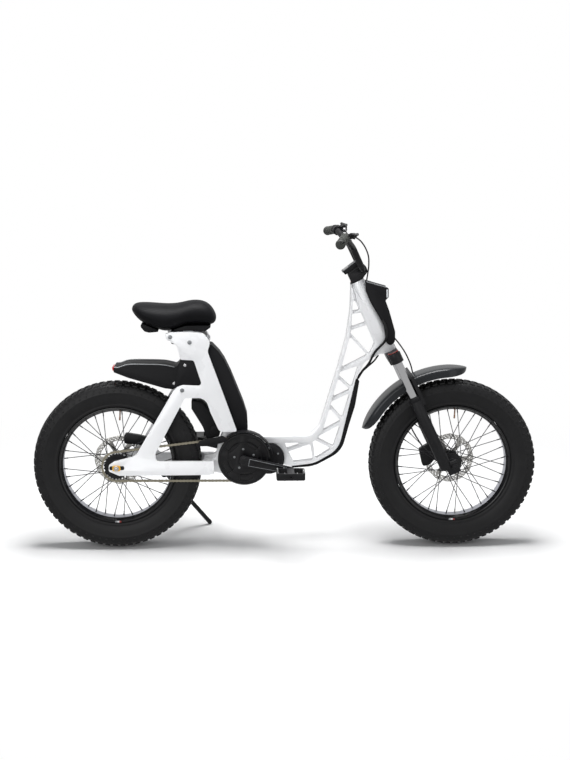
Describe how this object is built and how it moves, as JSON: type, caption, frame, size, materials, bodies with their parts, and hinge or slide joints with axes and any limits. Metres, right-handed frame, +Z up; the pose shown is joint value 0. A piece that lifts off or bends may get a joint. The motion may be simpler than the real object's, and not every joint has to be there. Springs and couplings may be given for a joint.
{
  "type": "electric bike",
  "caption": "Step-through electric bike with fat tyres, cast lattice front frame, bench saddle, mid motor, suspension fork and side stand.",
  "frame": {"origin": "on the floor under the middle of the bike's box, standing on its side stand", "axes": "+X forward along the bike, +Y to its left, +Z up"},
  "size_m": [1.8038, 0.7416, 1.1763],
  "materials": {
    "white_paint": "gloss cool white paint",
    "black_metal": "satin black",
    "black_plastic": "matt black plastic",
    "battery_case": "matt black case",
    "grey_plastic": "dark grey satin",
    "tyre_rubber": "black rubber",
    "grip_rubber": "grey-green rubber",
    "seat_cover": "black leathercloth",
    "steel": "bare steel",
    "chain_steel": "nickel and gold tinted steel",
    "hub_alloy": "silver alloy",
    "fork_chrome": "chromed stanchions, black crown",
    "lamp_red": "red lens",
    "lamp_clear": "clear lens",
    "hose_rubber": "black hose"
  },
  "bodies": {
    "root": {"rear_axle": "steel", "chain": "chain_steel", "chain_cover": "black_plastic", "front_frame": "white_paint", "rear_plate_right": "white_paint", "rear_plate_left": "white_paint", "seat_base": "black_plastic", "seat_bumper": "black_plastic", "seat": "seat_cover", "battery": "battery_case", "motor": "black_metal", "rear_fender": "black_plastic", "tail_lamp": "lamp_red", "splash_guard": "black_plastic", "cable_cover": "black_plastic", "headlight_housing": "black_plastic", "headlight_lens": "lamp_clear", "rear_caliper": "black_metal", "frame_cable": "hose_rubber", "stand_bracket": "black_metal"},
    "front_wheel": {"front_tyre": "tyre_rubber", "front_rim": "black_metal", "front_spokes": "steel", "front_hub": "hub_alloy", "front_rotor": "steel"},
    "rear_wheel": {"rear_tyre": "tyre_rubber", "rear_rim": "black_metal", "rear_spokes": "steel", "rear_hub": "hub_alloy", "rear_rotor": "steel", "rear_sprocket": "steel"},
    "crank": {"chainring": "steel", "guard_disc": "black_metal", "crank_arms": "black_metal"},
    "pedal_right": {"pedal_right": "black_metal"},
    "pedal_left": {"pedal_left": "black_metal"},
    "side_stand": {"stand_leg": "black_metal"},
    "steering": {"fork_upper": "fork_chrome", "fork_lowers": "black_metal", "front_axle": "steel", "front_fender": "grey_plastic", "front_caliper": "black_metal", "stem": "black_metal", "handlebar": "black_metal", "grips": "grip_rubber", "display": "black_plastic", "bar_controls": "black_metal", "front_brake_hose": "hose_rubber", "rear_brake_hose": "hose_rubber"}
  },
  "joints": [
    {"name": "steering", "type": "hinge", "parent": "root", "child": "steering", "pos_m": [0.254, -0.01693, 0.9535], "axis": [-0.4226, 0.0947, 0.9013], "range_deg": [-45, 45]},
    {"name": "front_wheel_spin", "type": "hinge", "parent": "steering", "child": "front_wheel", "pos_m": [0.601, -0.08529, 0.30308], "axis": [0, 0.9945, -0.1045], "continuous": true},
    {"name": "rear_wheel_spin", "type": "hinge", "parent": "root", "child": "rear_wheel", "pos_m": [-0.601, -0.08529, 0.30308], "axis": [0, 0.9945, -0.1045], "continuous": true},
    {"name": "crank_spin", "type": "hinge", "parent": "root", "child": "crank", "pos_m": [-0.148, -0.08257, 0.32894], "axis": [0, 0.9945, -0.1045], "continuous": true},
    {"name": "pedal_right_spin", "type": "hinge", "parent": "crank", "child": "pedal_right", "pos_m": [0.01339, -0.08616, 0.29482], "axis": [0, 0.9945, -0.1045], "continuous": true},
    {"name": "pedal_left_spin", "type": "hinge", "parent": "crank", "child": "pedal_left", "pos_m": [-0.30939, -0.07898, 0.36305], "axis": [0, 0.9945, -0.1045], "continuous": true},
    {"name": "stand_fold", "type": "hinge", "parent": "root", "child": "side_stand", "pos_m": [-0.441, 0.02035, 0.23667], "axis": [-0.0416, 0.9537, 0.2977], "range_deg": [0, 118.63]}
  ]
}
